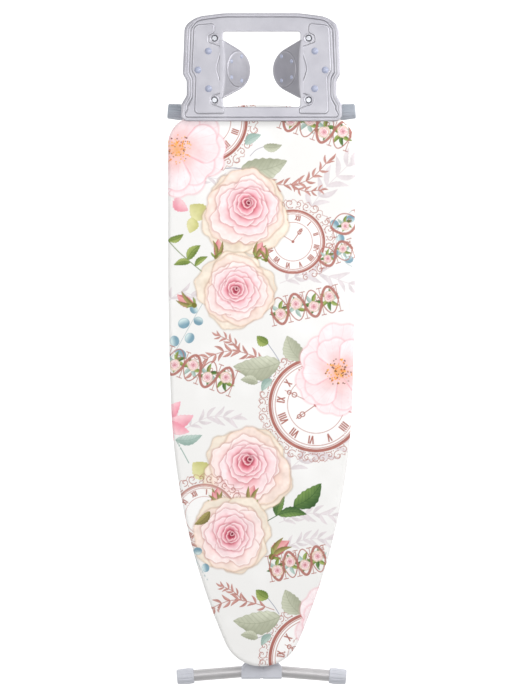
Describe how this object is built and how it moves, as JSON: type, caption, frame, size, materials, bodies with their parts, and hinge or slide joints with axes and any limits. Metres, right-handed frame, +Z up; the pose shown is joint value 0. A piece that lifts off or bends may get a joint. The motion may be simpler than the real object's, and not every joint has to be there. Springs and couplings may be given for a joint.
{
  "type": "folding ironing board",
  "caption": "Full-size ironing board folded flat, with a padded cover, crossed tube legs and a pressed-steel iron rest.",
  "frame": {"origin": "middle of the folded board's footprint on the floor, under its bounding box's centre", "axes": "+X across the board, +Y from the nose to the iron rest, +Z up through the ironing surface"},
  "size_m": [0.4112, 1.4592, 0.0972],
  "materials": {
    "cover_cotton": "printed cotton, floral",
    "felt": "needled felt",
    "powder_grey": "satin powder coat",
    "pressed_steel": "silver-grey satin coat",
    "leg_steel": "satin grey coat",
    "zinc": "bright zinc",
    "stud_blue": "heat-proof silicone",
    "plastic_light": "light grey moulding",
    "plastic_dark": "slate grey moulding",
    "nylon": "natural nylon"
  },
  "bodies": {
    "board": {"cover": "cover_cotton", "cross_rib_hinge": "powder_grey", "cross_rib_middle": "powder_grey", "cross_rib_nose": "powder_grey", "cross_rib_slide": "powder_grey", "cross_rib_tail": "powder_grey", "cross_rib_waist": "powder_grey", "guide_bracket_nose": "powder_grey", "guide_bracket_tail": "powder_grey", "guide_rod_left": "zinc", "guide_rod_right": "zinc", "hinge_axle": "zinc", "hinge_bracket": "powder_grey", "hinge_washers": "nylon", "hoop_clamps": "plastic_dark", "iron_rest": "pressed_steel", "panel_frame": "powder_grey", "panel_rivets": "zinc", "plate_studs": "stud_blue", "rest_hoop": "leg_steel", "rest_nuts": "zinc", "rest_screws": "zinc", "steam_panel": "powder_grey", "underlay_pad": "felt", "wing_studs": "stud_blue"},
    "front_leg": {"front_cap_left": "plastic_light", "front_cap_right": "plastic_light", "front_connector": "plastic_light", "front_connector_screws": "zinc", "front_foot_tube": "leg_steel", "front_plug_left": "plastic_light", "front_plug_right": "plastic_light", "front_tie_lower": "leg_steel", "front_tie_upper": "leg_steel", "front_tube_left": "leg_steel", "front_tube_right": "leg_steel", "pivot_bolt": "zinc", "pivot_nut": "zinc", "pivot_sleeve": "nylon", "pivot_spacers": "nylon"},
    "rear_leg": {"rear_axle": "zinc", "rear_axle_spacers": "nylon", "rear_brace": "leg_steel", "rear_cap_left": "plastic_dark", "rear_cap_right": "plastic_dark", "rear_connector_left": "plastic_dark", "rear_connector_right": "plastic_dark", "rear_foot_tube": "leg_steel", "rear_plug_left": "plastic_dark", "rear_plug_right": "plastic_dark", "rear_tube_left": "leg_steel", "rear_tube_right": "leg_steel"},
    "slider": {"slide_carriage": "nylon", "lever_pin": "zinc"},
    "lever": {"release_lever": "zinc", "lever_grip": "plastic_light"}
  },
  "joints": [
    {"name": "front_leg_fold", "type": "hinge", "parent": "board", "child": "front_leg", "pos_m": [0, 0.3175, 0.042], "axis": [1, 0, 0], "range_deg": [0, 58.6]},
    {"name": "rear_leg_scissor", "type": "hinge", "parent": "front_leg", "child": "rear_leg", "pos_m": [0, -0.09705, 0.03193], "axis": [1, 0, 0], "range_deg": [-117.2, 0]},
    {"name": "slide_axle_turn", "type": "hinge", "parent": "rear_leg", "child": "slider", "pos_m": [0, -0.5116, 0.042], "axis": [1, 0, 0], "range_deg": [0, 58.6]},
    {"name": "height_lever_squeeze", "type": "hinge", "parent": "slider", "child": "lever", "pos_m": [0, -0.5436, 0.049], "axis": [0, 0, 1], "range_deg": [0, 5], "stiffness_Nm_per_rad": 1.5, "springref_deg": -2.86}
  ],
  "couplings": [
    {"joint": "rear_leg_scissor", "follows": "front_leg_fold", "ratio": -2},
    {"joint": "slide_axle_turn", "follows": "front_leg_fold", "ratio": 1}
  ]
}
